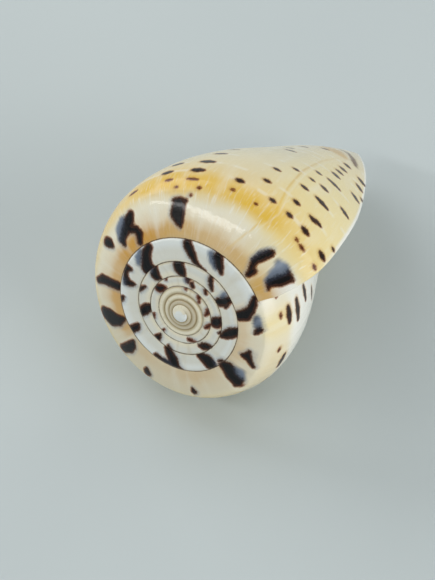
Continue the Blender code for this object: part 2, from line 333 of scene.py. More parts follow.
def crowded(count):
    """Shares from 0 to 1 in count steps that crowd at both ends: s minus a sine of s."""
    share = even(count)
    return share - ROW_CROWDING * np.sin(2.0 * np.pi * share) / (2.0 * np.pi)


def place(points, turn, along, inside):
    """Six numbers to a place: the point, its turn and along, and how far inside it is."""
    shape = points.shape[:-1]
    rest = [np.broadcast_to(value, shape)[..., None] for value in (turn, along, inside)]
    return np.concatenate([points, *rest], axis=-1)


def outside(turn, along):
    """Places on the outer surface, with the relief added straight outwards."""
    turn, along = np.broadcast_arrays(np.asarray(turn, float), np.asarray(along, float))
    points = surface(turn, along) + outward(turn, along) * relief(turn, along)[..., None]
    return place(points, turn, along, 0.0)


def side_rows():
    """Along of the rows on the side, which crowd at the rows of spots."""
    stops = (*SPOT_ROWS, 1.0)
    stretches = []
    for low, high in zip(stops[:-1], stops[1:]):
        count = round((high - low) / ROW_STEP)
        stretches.append(low + (high - low) * crowded(count)[1:])
    return np.concatenate(stretches)


def whorl_rows(turn):
    """Along of every row at each turn: ramp, band under the lip's joint, shoulder, side."""
    cover = covered_from(turn)[:, None]
    seam = cover + CONTACT_BAND
    ramp = cover * crowded(RAMP_ROWS)
    band = cover + CONTACT_BAND * even(BAND_ROWS)[1:]
    shoulder = seam + (SPOT_ROWS[0] - seam) * even(SHOULDER_ROWS)[1:]
    side = np.broadcast_to(side_rows(), (len(turn), len(side_rows())))
    return np.concatenate([ramp, band, shoulder, side], axis=1)


def last_whorl():
    """Outside of the last turn, from the lip back to where it passes under the lip."""
    column = even(TURN_STEPS)[:, None]
    along = whorl_rows(column[:, 0])
    whorl = outside(column + lip_turn(along) * (1.0 - column), along)
    whorl[-1, RAMP_ROWS, :3] = whorl[0, 0, :3]
    return whorl


def ramps(steps, first, last, rows):
    """Ramps of the older whorls from turn first to last, each out to the next whorl's suture."""
    turn = np.arange(first * steps, last * steps + 1)[:, None] / steps
    grid = outside(turn, covered_from(turn) * crowded(rows))
    grid[:, -1, :3] = outside(turn[:, 0] - 1.0, 0.0)[:, :3]
    return grid


def hollow_floor(turn):
    """Along of the hollow's floor: the front end, lifting where the hollow runs out."""
    return 1.0 - FLOOR_RISE * rise(turn, CANAL_TURNS, HOLLOW_TURNS)


def seam_along(turn):
    """Along of the joint where the last whorl's wall meets the older whorl."""
    return covered_from(1.0 + turn) + CONTACT_BAND


def inner_whorl(column):
    """Older whorl inside the mouth, down to the pillar, as far back as the hollow goes."""
    share = even(INNER_ROWS)[None, :]
    seam = seam_along(column)
    along = seam + share * (hollow_floor(column) - seam)
    turn = 1.0 + column + lip_turn(share) * (1.0 - column) * rise(column, 0.0, CANAL_TURNS)
    return place(surface(turn, along), turn, along, rise(column, 0.0, MOUTH_FADE))


def inner_wall(column, along):
    """Inner face of the wall: a share of the way from the outer surface to the older whorl."""
    turn = column + lip_turn(along) * (1.0 - column)
    floor = hollow_floor(column)
    seam = seam_along(column)
    outer = surface(turn, along * floor)
    inner = surface(1.0 + turn, seam + along * (floor - seam))

    delay = WALL_DELAY * rise(along, FRONT_END, 1.0)
    deep = rise(turn - delay, *WALL_THICKENS)
    wall = WALL_AT_LIP + (WALL_DEEP - WALL_AT_LIP) * deep
    wall = wall + (1.0 - wall) * np.exp(-along / CEILING)
    closing = rise(along, 0.9, 1.0) * rise(column, CANAL_TURNS - CLOSING_TURNS, CANAL_TURNS)
    wall = wall + (1.0 - wall) * closing
    return place(outer + wall[..., None] * (inner - outer), turn, along, 1.0)


def rounded_edge(outer, inner, direction, bulge):
    """Strip from outer to inner places: half ellipses that bulge along direction."""
    half = (outer - inner) / 2.0
    depth = np.linalg.norm((outer - inner)[:, :3], axis=-1, keepdims=True) * bulge[:, None]
    push = np.concatenate([direction * depth, np.zeros_like(direction)], axis=-1)
    angles = np.pi * even(BAND_ROWS)
    arcs = [(outer + inner) / 2.0 + half * np.cos(a) + push * np.sin(a) for a in angles]
    return np.stack(arcs, axis=1)


def lip_edge(outer, inner, contact):
    """Rounded edge of the lip; its first row lies on the older whorl, where the lip joins it."""
    turn, along = outer[:, 3], outer[:, 4]
    forward = unit(surface(turn - NUDGE, along) - surface(turn + NUDGE, along))
    down = unit(surface(turn, along) - surface(turn, along - NUDGE))
    corner = rise(along, CORNER_FROM, 1.0)[:, None]
    direction = unit(forward * (1.0 - corner / 2.0) + down * corner)
    strip = rounded_edge(outer, inner, direction, LIP_ROUNDING * rise(along, 0.0, CEILING))
    strip[0] = contact
    return strip, forward[-1]


def canal_rim(outer, inner, forward, corner):
    """Rounded rim of the open front end, from the lip's corner to the back of the canal."""
    column = np.arange(CANAL_COLUMN + 1) / INNER_STEPS
    turn = outer[:, 3]
    down = unit(surface(turn, 1.0) - surface(turn, 1.0 - NUDGE))
    direction = unit(down + 0.5 * forward * np.exp(-column / CORNER_TURNS)[:, None])
    bulge = LIP_ROUNDING * (1.0 - 0.8 * rise(column, CANAL_TURNS - 0.1, CANAL_TURNS))
    strip = rounded_edge(outer, inner, direction, bulge)
    strip[0] = corner
    return strip


def fan(ring, centre):
    """Closed fan of triangles from a centre to a ring, as a grid two places wide."""
    ring = np.concatenate([ring, ring[:1]])
    return np.stack([np.broadcast_to(centre, ring.shape), ring], axis=1)


def passed(line):
    """Share of a line's length passed at the middle of each of its steps."""
    steps = np.linalg.norm(np.diff(line[:, :3], axis=0), axis=-1)
    return (np.cumsum(steps) - steps / 2.0) / steps.sum()


def laced(first, second):
    """Triangles that lace two lines together, as a triangle's three places to a row.

    Each step of a line is joined to the place that the other line has reached at its middle.
    """
    on_first, on_second = passed(first), passed(second)
    reached = np.searchsorted(on_second, on_first, side="left")
    back = np.searchsorted(on_first, on_second, side="right")
    one = np.stack([first[:-1], first[1:], second[reached]], axis=1)
    two = np.stack([second[1:], second[:-1], first[back]], axis=1)
    return np.concatenate([one, two])


def shell_skin():
    """Every stretch of the shell's skin: grids of places, and triangles that lace them."""
    whorl = last_whorl()
    young = ramps(TURN_STEPS, 1, OLD_FROM, RAMP_ROWS)
    young[0, :, :3] = whorl[-1, :RAMP_ROWS + 1, :3]
    old = ramps(OLD_TURN_STEPS, OLD_FROM, WHORLS, OLD_ROWS)
    suture = young[-TURN_STEPS - 1:, 0]
    beside = np.concatenate([young[-1:, -2], old[1:OLD_TURN_STEPS + 1, -2]])

    column = even(INNER_STEPS)
    front = outside(column + lip_turn(1.0) * (1.0 - column), 1.0)
    front[-1] = whorl[-1, -1]
    front[0] = whorl[0, -1]

    inner_column = np.arange(HOLLOW_COLUMN + 1)[:, None] / INNER_STEPS
    older = inner_whorl(inner_column)
    wall = inner_wall(inner_column, even(INNER_ROWS)[None, :] ** INNER_CROWDING)
    wall[:, 0, :3] = older[:, 0, :3]
    wall[CANAL_COLUMN:, -1, :3] = older[CANAL_COLUMN:, -1, :3]
    behind_lip = inner_wall(np.zeros(whorl.shape[1]), whorl[0, :, 4])
    behind_lip[0, :3] = whorl[-1, SEAM_ROW, :3]
    wall[0, -1] = behind_lip[-1]

    contact = whorl[-1, RAMP_ROWS:SEAM_ROW + 1]
    lip, forward = lip_edge(whorl[0], behind_lip, contact)
    canal = slice(0, CANAL_COLUMN + 1)
    rim = canal_rim(front[canal], wall[canal, -1], forward, lip[-1])
    foot_ring = np.concatenate([front[CANAL_COLUMN:], older[1:CANAL_COLUMN + 1, -1], rim[-1, -2:0:-1]])
    foot = fan(foot_ring, foot_ring.mean(axis=0))

    innermost = outside(WHORLS - 1 + even(OLD_TURN_STEPS), 0.0)
    apex_ring = np.concatenate([innermost, old[-1, 1:-1]])
    top = suture_height(np.array(float(WHORLS))) + APEX_CAP
    apex = fan(apex_ring, np.array([0.0, 0.0, top, WHORLS, 0.0, 0.0]))
    oldest_edge = old[OLD_TURN_STEPS:, -2:]

    grids = [whorl[:, :-1], young, old[1:, :-1], oldest_edge, older[1:], wall[1:], lip, rim, foot, apex]
    seams = [(young[-1, :-1], old[1, :-1]), (suture, beside), (whorl[:, -2], front),
             (behind_lip, wall[1]), (whorl[-1, SEAM_ROW:], older[1]), (wall[-1], older[-1])]
    return grids, [laced(*lines) for lines in seams]


# ==== Marks ====
# A mark is a chain of brush places: degrees back from the lip, hundredths of the way along (last
# whorl) or across the ramp (older whorls), and the brush's width there in millimetres.

LAST_RAMP_BLOTCHES = [
    [(5, 3.3, 0.4), (8, 4, 1)], [(8.2, 4.4, 1.5), (7.2, 6.5, 2), (6.8, 8.3, 1.9)],
    [(4.7, 9.1, 0.5), (9.5, 9.2, 0.5)], [(18.7, 1.2, 1.1), (18.9, 2.4, 1.5)],
    [(17.7, 3, 0.5), (20.6, 3, 0.7)],
    [(21.3, 2.8, 1), (23, 4.4, 1.3), (22.4, 6.2, 1.6), (21.3, 8.3, 1.5)],
    [(73.3, 3, 0.7), (74.8, 4.3, 1.9), (76.4, 6, 2.9), (76.2, 8.2, 2.8)],
    [(72.7, 9.3, 0.7), (79.6, 9.3, 0.7)],
    [(107.5, 1.3, 1.3), (105.6, 3.2, 1.6), (107, 4.7, 1.3), (112.5, 6.2, 1.7)],
    [(120.7, 3.8, 1), (120.3, 5, 1.5), (115, 6.3, 2), (110, 8, 2.4), (108, 9, 1.8)],
    [(130, 6.8, 0.9), (130.6, 8.2, 1.8), (131.8, 9.3, 1.9)],
    [(152.2, 1, 1.9), (153.5, 4.8, 1.8), (154.3, 7.2, 1.9), (157, 9.6, 1.3)],
    [(180, 1.4, 1.4), (180.7, 3.8, 2.6), (179.2, 6.4, 3.7), (177, 8.7, 3)],
    [(199.2, 2.2, 0.8), (201, 4, 1.9), (201.6, 6.2, 2.3), (200.5, 8.9, 2)],
    [(219.2, 7.3, 0.6), (220, 8.5, 1.3), (220.8, 9.1, 1.7)], [(254.3, 7.2, 0.6), (254.8, 8.3, 1.3)],
    [(291.5, 0.6, 1.5), (293.3, 2.4, 2.6), (290.8, 5.2, 2.3), (291, 8.1, 2.4)],
    [(289.2, 0.5, 0.5), (294, 0.5, 0.6)], [(287.2, 9, 0.5), (295, 9, 0.6)],
    [(313, 3.7, 0.8), (314.3, 5.2, 1.6), (319.3, 5.5, 0.6)],
    [(313.6, 5.9, 1.4), (311, 7.5, 0.9), (309.6, 8.8, 0.8)], [(335.4, 6.4, 0.4), (337, 7.3, 0.8)],
    [(338.3, 7.4, 1.1), (339.4, 8.4, 1.1)],
    [(349.6, 1, 2.1), (350.6, 3.6, 2.3), (354.2, 6, 1.7), (358.5, 7.8, 1.4), (362.8, 9.4, 1)],
]
LAST_RAMP_HAZE = [
    [(24.6, 4.2, 0.5), (24.6, 6.2, 0.7), (23.6, 8.2, 0.6)],
    [(10.2, 4.4, 1.4), (11.3, 6.2, 2.3), (12.2, 8.1, 2.8), (15.5, 8.3, 1.3)],
    [(121, 6, 1.8), (118, 7.6, 2.8), (115, 9.2, 1.8)],
    [(297.5, 4.6, 1.4), (298, 6.5, 2), (296.5, 8, 1.4)], [(343.5, 7.6, 1.7), (347.5, 7.8, 1.5)],
]
OLDER_RAMP_BLOTCHES = [
    [(391, 37, 0.7), (396.5, 58, 1.7), (400.5, 83, 1.9), (401.5, 95, 1.4)],
    [(404, 3, 0.2), (411, 7, 0.4), (417, 18, 1), (421.5, 42, 1.7), (425, 69, 1.9), (426.3, 84, 1.7)],
    [(474, 5, 2.8), (474.3, 15, 2.7), (471, 38, 2.1), (466.5, 64, 1.8), (461.5, 82, 1.7)],
    [(490.5, 72, 0.9), (491.5, 86, 1.2), (496, 86, 1), (500, 74, 1), (503.8, 58, 1.3), (503.3, 42, 1),
     (502, 29, 0.6)], [(519.2, 80, 0.6), (521.5, 90, 0.9), (523.5, 97, 0.5)],
    [(547, 41, 0.7), (549, 58, 1.5), (549.5, 90, 1.7)],
    [(587, 6, 1.1), (592, 25, 1.7), (597, 50, 2), (599.5, 72, 1.9), (604.5, 88, 0.8), (608, 93, 0.3)],
    [(580.5, 82, 1), (590, 85, 0.9), (598, 80, 1.2)],
    [(631.5, 9, 1.1), (635.5, 25, 1.8), (639, 46, 2.4), (640.3, 72, 2.3), (640, 83, 1.8)],
    [(651.3, 79, 0.4), (654.8, 88, 0.5)], [(649.5, 97, 0.4), (653, 99, 0.3)],
    [(679.3, 11, 0.8), (684, 32, 1.6), (688.7, 58, 2), (691.8, 84, 1.9), (693.3, 95, 1.5)],
    [(728, 7, 1.2), (727.3, 22, 1.7), (725.8, 50, 1.7), (726.5, 86, 1.5)],
    [(719.8, 46, 0.6), (722, 62, 0.9)],
    [(744.7, 28, 0.5), (750, 48, 0.8), (753.3, 70, 0.9), (755.3, 90, 0.8)],
    [(787.8, 12, 0.8), (791, 30, 1.7), (793.5, 54, 2.3), (794.5, 82, 2.3)],
    [(828, 17, 0.6), (831, 36, 1.5), (831, 52, 1.8), (827.5, 74, 1.3), (825, 90, 0.9)],
    [(855.8, 62, 0.5), (859.5, 78, 0.7), (864, 92, 0.7)],
    [(883, 8, 1), (885.8, 28, 1.8), (889.5, 55, 1.9), (892.7, 84, 1.6)],
    [(929.5, 36, 0.4), (930, 54, 0.6), (930, 72, 1.2), (930, 86, 1.3)],
    [(948, 77, 0.6), (949.8, 90, 1.1)],
    [(999.5, 35, 0.7), (1005, 52, 1.3), (1010.5, 70, 1.3), (1015, 81, 0.7)],
    [(1053, 28, 1.3), (1056, 46, 2.1), (1058.5, 62, 2), (1064, 90, 0.8)],
    [(1042, 90, 0.4), (1044, 94, 0.3)], [(1106.3, 70, 0.6), (1110, 88, 0.5)],
    [(1130.3, 40, 0.9), (1132.3, 60, 0.9)], [(1139.5, 64, 0.6), (1140, 86, 1)],
    [(1178.5, 86, 0.3), (1179.5, 92, 0.3)],
    [(1188.5, 22, 0.5), (1195, 40, 1.3), (1200.5, 56, 1.6), (1202.3, 80, 1.1)],
    [(1254.5, 70, 0.4), (1261, 90, 0.5)], [(1288, 60, 0.3), (1288, 80, 0.5)],
    [(1343.3, 46, 0.6), (1349, 60, 0.6)], [(1352, 72, 0.4), (1357, 86, 0.2)],
    [(1397.5, 46, 0.3), (1402, 66, 0.6), (1407, 88, 0.7)],
    [(1427.5, 36, 0.3), (1431, 60, 0.4), (1434, 80, 0.7), (1439, 90, 0.6)],
    [(1461, 34, 0.4), (1463, 52, 0.4)], [(1468.5, 74, 0.6), (1469.5, 92, 0.7)],
    [(1500.5, 82, 0.4), (1501.5, 92, 0.5)],
]
OLDER_RAMP_HAZE = [
    [(398, 36, 0.7), (403, 56, 1.3), (406.5, 80, 1.3)], [(480, 55, 0.9), (476, 72, 1.3), (471.5, 88, 1)],
    [(503, 80, 0.9), (506, 74, 0.8)], [(590, 76, 0.8), (597, 84, 0.9)],
    [(645, 72, 0.9), (645.5, 84, 0.7)], [(732, 58, 0.9), (734, 82, 1)],
    [(831.5, 80, 0.9), (832, 92, 0.9)], [(1143.5, 70, 0.7), (1145, 84, 0.6)],
]

# Spots on the side, row by row: along in hundredths, then where each starts and ends, in degrees
# back from the lip, its width in millimetres, and how far it lies below its row, in hundredths.
SIDE_SPOTS = {
    10.8: [(70.5, 71.3, 0.2, 0)],
    13: [(67.5, 69, 0.3, 0), (79, 80.5, 0.2, -0.2)],
    15: [(5, 7, 0.4, 0), (14, 17, 0.4, -0.2), (19, 20, 0.3, 0), (41.5, 42.5, 0.2, -0.4),
         (53.2, 54.7, 0.3, 0), (71, 76, 0.4, 0.1), (84, 87, 0.4, 0), (104.5, 109, 0.5, 0.2),
         (321, 323.5, 0.5, -0.2), (343.5, 346.5, 0.4, -0.2), (357, 359, 0.4, -0.2)],
    18.5: [(6.5, 9.5, 1.1, 0), (18.5, 21.5, 1.1, 0), (28, 30, 0.8, -0.3), (37, 39, 0.7, -0.3),
           (53, 55.5, 1, 0), (72, 76.5, 1.3, 0.2), (87.5, 91.5, 1.1, 0), (307, 316, 1.1, -0.5),
           (338.5, 347.5, 1.3, -0.6)],
    24: [(6.5, 7.5, 0.6, -0.7), (17.5, 20.5, 0.8, 0.1), (20, 23, 0.9, -0.6), (30, 32, 1, -0.6),
         (45, 47, 0.9, -0.6), (72, 77, 1.3, 0), (87.5, 91.5, 1.2, -0.3), (336, 347.5, 1.5, -0.5)],
    32: [(21, 27, 1.2, 0), (32.5, 35, 0.9, -0.4), (46.8, 49, 0.8, -0.6), (73.5, 78, 0.9, 0),
         (342, 350, 1.3, -0.6)],
    39: [(11.5, 16, 1.1, 0.1), (26.5, 29.5, 1, 0.5), (33.8, 35.5, 0.7, -0.4), (42.2, 44, 0.8, -1.1),
         (74, 78, 0.6, 0.5), (334, 341, 1, 1.4)],
    46.5: [(23, 30, 1.1, 0.8), (35, 36.6, 0.9, -0.3)],
    54: [(11, 15.5, 1.3, -0.3), (28, 31, 1.3, 0.7), (57, 61.5, 1, 1)],
    59: [(8, 9.5, 0.8, -1.7), (28, 31.5, 0.9, 0.3), (62.5, 66, 0.7, 1)],
    63.5: [(12, 16.5, 1.2, -1.4), (28, 31.5, 1, -0.1)],
    68: [(12.5, 18, 1.2, -0.9), (28.5, 31.5, 1.1, 0.6), (61, 65, 0.7, 0)],
    73: [(51, 55, 0.9, 0.9)],
}
FREE_ROWS = (15, 24, 32, 46)      # rows for which the next two lines hold, in hundredths
FREE_STARTS = (128, 108, 96, 82)  # degrees from which spots are drawn freely
FREE_ENDS = (284, 300, 310, 322)  # and to which
FIRST_FREE_ROW = 14       # hundredths above which no free spots are drawn
FREE_SEED = 11
FREE_DELAY = (0.0, 8.0)   # degrees, before a row's first
FREE_LENGTH = (2.0, 6.0)  # degrees
FREE_GAP = (5.0, 16.0)    # degrees, after each
FREE_SHARE = 0.8          # share of the free places that hold a spot
FREE_SIZE = (0.75, 1.25)  # against the row's usual width
FREE_STRAY = (-0.6, 0.6)  # hundredths below the row
SPOT_TAPER = 0.7          # width of a spot's ends, against its middle
STAIN = [[(49, 83.5, 0.6), (41, 82.5, 1), (34, 79.5, 1.3), (29, 76, 1.5), (26, 73.5, 0.9)]]
STAIN_TINT = [[(58, 79, 2), (49, 77, 4.4), (41, 75, 3)]]

BRUSH_MERGING = 0.12 * MM  # how softly strokes run into each other
BRUSH_REACH = 0.15       # turns round a stroke within which it is worked out
FAR = 1e-9               # total below which no stroke is near
SIDE_LENGTH = 80.0 * MM  # from suture to front end, over the surface
RIM_SHIFT = 0.35 * MM    # how far the red-brown rim is moved towards the lip


def spot_strokes():
    """The side's spots: in each row the stated ones, then drawn ones on the far side."""
    strokes = []
    draw = np.random.default_rng(FREE_SEED)
    for row, spots in SIDE_SPOTS.items():
        usual = np.median([width for start, end, width, below in spots])
        free = []
        degrees = np.interp(row, FREE_ROWS, FREE_STARTS) + draw.uniform(*FREE_DELAY)
        last = np.interp(row, FREE_ROWS, FREE_ENDS)
        while degrees < last and row > FIRST_FREE_ROW:
            length = draw.uniform(*FREE_LENGTH)
            if draw.random() < FREE_SHARE:
                size = usual * draw.uniform(*FREE_SIZE)
                free.append((degrees, degrees + length, size, draw.uniform(*FREE_STRAY)))
            degrees += length + draw.uniform(*FREE_GAP)
        for start, end, width, below in [*spots, *free]:
            level, end_width = row + below, SPOT_TAPER * width
            middle = (start + end) / 2.0
            strokes.append([(start, level, end_width), (middle, level, width), (end, level, end_width)])
    return strokes


def brushed(last, older, places, directions, shift=0.0):
    """Distance from each place to the nearest stroke, negative inside, in metres.

    A stroke is a capsule whose radius runs from one end's to the other's. Distance is taken in the
    surface's own plane, and strokes merge by the logarithm of a sum of exponentials.
    """
    total = np.full(len(places), FAR)
    for chain in last + older:
        degrees, hundredths, width = np.array(chain, float).T
        turn = degrees / 360.0
        along = hundredths / 100.0 * (covered_from(turn) if chain in older else 1.0)
        radius = np.linalg.norm(surface(turn, along)[:, :2], axis=-1)
        points = surface(turn - shift / (2.0 * np.pi * radius), along)
        for i in range(len(chain) - 1):
            reach = abs(turn[i] - turn[i + 1]) / 2.0 + BRUSH_REACH
            near = np.flatnonzero(np.abs(places[:, 3] - (turn[i] + turn[i + 1]) / 2.0) < reach)
            out = directions[near]
            offset = places[near, :3] - points[i]
            offset -= out * np.sum(offset * out, axis=1, keepdims=True)
            stroke = points[i + 1] - points[i]
            stroke = stroke - out * np.sum(stroke * out, axis=1, keepdims=True)
            share = np.sum(offset * stroke, axis=1) / np.maximum(np.sum(stroke ** 2, axis=1), TINY)
            share = np.clip(share, 0.0, 1.0)
            half_width = (width[i] + (width[i + 1] - width[i]) * share) * MM / 2.0
            gap = np.linalg.norm(offset - stroke * share[:, None], axis=1) - half_width
            total[near] += np.exp(-gap / BRUSH_MERGING)
    return -BRUSH_MERGING * np.log(total)


def marks(places):
    """What the finish reads at each place, in millimetres where it is a distance."""
    turn, along = places[:, 3], places[:, 4]
    directions = outward(turn, along)
    last_dark = LAST_RAMP_BLOTCHES + spot_strokes()
    across, inner, outer = from_sutures(turn, along)
    from_row = np.min(np.abs(along[:, None] - np.array(SPOT_ROWS)), axis=1) * SIDE_LENGTH
    near_suture = np.where(turn >= 1.0, np.minimum(inner, np.abs(outer)), inner)
    return {
        "dark": brushed(last_dark, OLDER_RAMP_BLOTCHES, places, directions) / MM,
        "rim": brushed(last_dark, OLDER_RAMP_BLOTCHES, places, directions, RIM_SHIFT) / MM,
        "haze": brushed(LAST_RAMP_HAZE, OLDER_RAMP_HAZE, places, directions) / MM,
        "stain": brushed(STAIN, [], places, directions) / MM,
        "stain_tint": brushed(STAIN_TINT, [], places, directions) / MM,
        "row": from_row / MM,
        "scar": from_scar(turn, along) / MM,
        "suture": near_suture / MM,
        "across": across,
        "inside": places[:, 5],
    }


# ==== The mesh ====

def laid_down():
    """Turn from the shell's own frame to the table's, with the front end towards +Y."""
    side = np.radians(REST_SIDE)
    dip = np.radians(REST_DECLINE)
    down = np.array([np.cos(dip) * np.cos(side), np.cos(dip) * np.sin(side), -np.sin(dip)])
    ahead = np.array([0.0, 0.0, -1.0])
    ahead = unit(ahead - down * (ahead @ down))
    return np.stack([np.cross(ahead, -down), ahead, -down])


def on_table(points):
    """Points laid down, with their box's middle and lowest point where the solid's are."""
    placed = points @ laid_down().T
    low, high = placed.min(axis=0), placed.max(axis=0)
    shift = (SOLID_LOW + SOLID_HIGH - low - high) / 2.0
    shift[2] = SOLID_LOW[2] - low[2]
    return placed + shift


def shell_mesh():
    """One closed mesh from the skin, with every mark stored on the corners of its faces."""
    grids, lace = shell_skin()
    places, faces = [], []
    start = 0
    for grid in grids:
        columns, rows = grid.shape[:2]
        i, j = np.meshgrid(np.arange(columns - 1), np.arange(rows - 1), indexing="ij")
        corner = start + i * rows + j
        quads = np.stack([corner, corner + 1, corner + rows + 1, corner + rows], axis=-1)
        faces.extend(quads.reshape(-1, 4).tolist())
        places.append(grid.reshape(-1, 6))
        start += columns * rows
    for triangles in lace:
        faces.extend((start + np.arange(len(triangles) * 3).reshape(-1, 3)).tolist())
        places.append(triangles.reshape(-1, 6))
        start += len(triangles) * 3
    places = np.concatenate(places)

    mesh = bpy.data.meshes.new("cone_shell_skin")
    mesh.from_pydata(on_table(places[:, :3]).tolist(), [], faces)
    corners = np.empty(len(mesh.loops), int)
    mesh.loops.foreach_get("vertex_index", corners)
    for name, value in marks(places).items():
        layer = mesh.attributes.new(name, "FLOAT", "CORNER")
        layer.data.foreach_set("value", value[corners].astype(np.float32))
    growth_map = mesh.uv_layers.new(name="growth")
    age = places[:, 3] - lip_turn(places[:, 4])
    flat = np.stack([age, places[:, 4]], axis=-1)
    growth_map.data.foreach_set("uv", flat[corners].astype(np.float32).ravel())

    work = bmesh.new()
    work.from_mesh(mesh)
    bmesh.ops.remove_doubles(work, verts=work.verts, dist=MERGE_DISTANCE)
    bmesh.ops.dissolve_degenerate(work, edges=work.edges, dist=MERGE_DISTANCE / 2.0)
    bmesh.ops.recalc_face_normals(work, faces=work.faces)
    work.to_mesh(mesh)
    work.free()
    mesh.shade_smooth()
    return mesh


# ==== Finishes ====

MIX_FIRST_COLOUR, MIX_SECOND_COLOUR, MIX_RESULT = 6, 7, 2  # a mix node's colour sockets


def tone(red, green, blue):
    """A colour mixed from red, green and blue as a screen shows them, 0 to 255."""
    shown = np.array([red, green, blue]) / 255.0
    linear = np.where(shown <= 0.04045, shown / 12.92, ((shown + 0.055) / 1.055) ** 2.4)
    return (*linear.tolist(), 1.0)


class Value:
    """A number, colour or place that a material works out. Arithmetic on it adds nodes."""

    def __init__(self, socket):
        self.socket = socket
        self.tree = socket.id_data

    def __add__(self, other):
        return arithmetic("ADD", self, other)

    def __sub__(self, other):
        return arithmetic("SUBTRACT", self, other)

    def __rsub__(self, other):
        return arithmetic("SUBTRACT", other, self)

    def __mul__(self, other):
        return arithmetic("MULTIPLY", self, other)

    def __truediv__(self, other):
        return arithmetic("DIVIDE", self, other)


def feed(socket, value):
    """Links a worked-out value to a socket, and sets a plain one there."""
    if isinstance(value, Value):
        value.tree.links.new(value.socket, socket)
    else:
        socket.default_value = value


def worked_out(tree, kind, inputs, output=0, **settings):
    """What a new node of this kind, with these settings, makes of its inputs."""
    node = tree.nodes.new(kind)
    for name, setting in settings.items():
        setattr(node, name, setting)
    for name, value in inputs.items():
        feed(node.inputs[name], value)
    return Value(node.outputs[output])


def arithmetic(operation, first, second):
    """One step of arithmetic, on values or plain numbers."""
    tree = first.tree if isinstance(first, Value) else second.tree
    return worked_out(tree, "ShaderNodeMath", {0: first, 1: second}, operation=operation)


def larger(first, second):
    """The larger of two."""
    return arithmetic("MAXIMUM", first, second)


def fade(value, start, end):
    """Eases from 0 where value is start to 1 where it is end."""
    inputs = {"Value": value, "From Min": start, "From Max": end}
    return worked_out(value.tree, "ShaderNodeMapRange", inputs, interpolation_type="SMOOTHSTEP")


def mix(amount, first, second):
    """A colour part of the way from first to second."""
    inputs = {"Factor": amount, MIX_FIRST_COLOUR: first, MIX_SECOND_COLOUR: second}
    return worked_out(amount.tree, "ShaderNodeMix", inputs, MIX_RESULT, data_type="RGBA")


def coated(ground, *coats):
    """A ground under coats, each given as how much of it shows and its colour."""
    for amount, colour in coats:
        ground = mix(amount, ground, colour)
    return ground


def grain(coordinates, patches, detail):
    """Soft noise from 0 to 1, with this many patches to a unit along each axis."""
    tree = coordinates.tree
    spread = worked_out(tree, "ShaderNodeMapping", {"Vector": coordinates, "Scale": patches})
    return worked_out(tree, "ShaderNodeTexNoise", {"Vector": spread, "Scale": 1.0, "Detail": detail})


def bands(value, stops):
    """A colour that follows value from stop to stop; a plain number makes a grey."""
    node = value.tree.nodes.new("ShaderNodeValToRGB")
    feed(node.inputs[0], value)
    elements = node.color_ramp.elements
    elements.remove(elements[1])
    for number, (position, shade) in enumerate(stops):
        element = elements.new(position) if number else elements[0]
        element.position = position
        element.color = shade if isinstance(shade, tuple) else (shade, shade, shade, 1.0)
    return Value(node.outputs[0])


def new_material(name):
    """A new material, its tree of nodes and its shader's inputs."""
    material = bpy.data.materials.new(name)
    material.use_nodes = True
    tree = material.node_tree
    return material, tree, tree.nodes["Principled BSDF"].inputs


def mark(tree, name):
    """One of the marks stored on the mesh."""
    return worked_out(tree, "ShaderNodeAttribute", {}, "Fac", attribute_name=name)


def own_place(tree):
    """The place on the object, in metres."""
    return worked_out(tree, "ShaderNodeTexCoord", {}, "Object")


MILK = tone(242, 241, 232)
BLUE_WHITE = tone(230, 234, 231)
IVORY = tone(236, 229, 206)
CREAM = tone(230, 219, 184)
BEIGE = tone(224, 213, 186)
BUTTER = tone(238, 222, 168)
OCHRE = tone(226, 186, 74)
TAN = tone(204, 156, 62)
WARM_TAN = tone(206, 150, 44)
PEARL = tone(222, 222, 212)
OLD_TAN = tone(196, 182, 146)
GROOVE_TAN = tone(150, 130, 98)
BLACK = tone(7, 6, 8)
DARK_BROWN = tone(56, 28, 14)
DEEP_BROWN = tone(24, 16, 8)
RUST = tone(148, 84, 34)
RED_BROWN = tone(92, 36, 8)
UMBER = tone(120, 82, 46)
STAIN_BROWN = tone(116, 84, 50)
DARK_SLATE = tone(38, 42, 54)
SLATE = tone(74, 86, 106)
PALE_SLATE = tone(130, 144, 164)
TABLE_TONES = (tone(188, 197, 199), tone(196, 205, 206))

SHELL_GLOSS = {"IOR": 1.22, "Coat Weight": 0.3, "Coat Roughness": 0.05}
BUMP_STRENGTHS = {"Normal": 0.5, "Coat Normal": 0.06}
BUMP_HEIGHT = 0.05 * MM
GRIT = 0.3 * MM          # size of the finest grains
TABLE_CLOUD = 80.0 * MM  # size of the table's uneven patches
TABLE_ROUGHNESS = 0.6


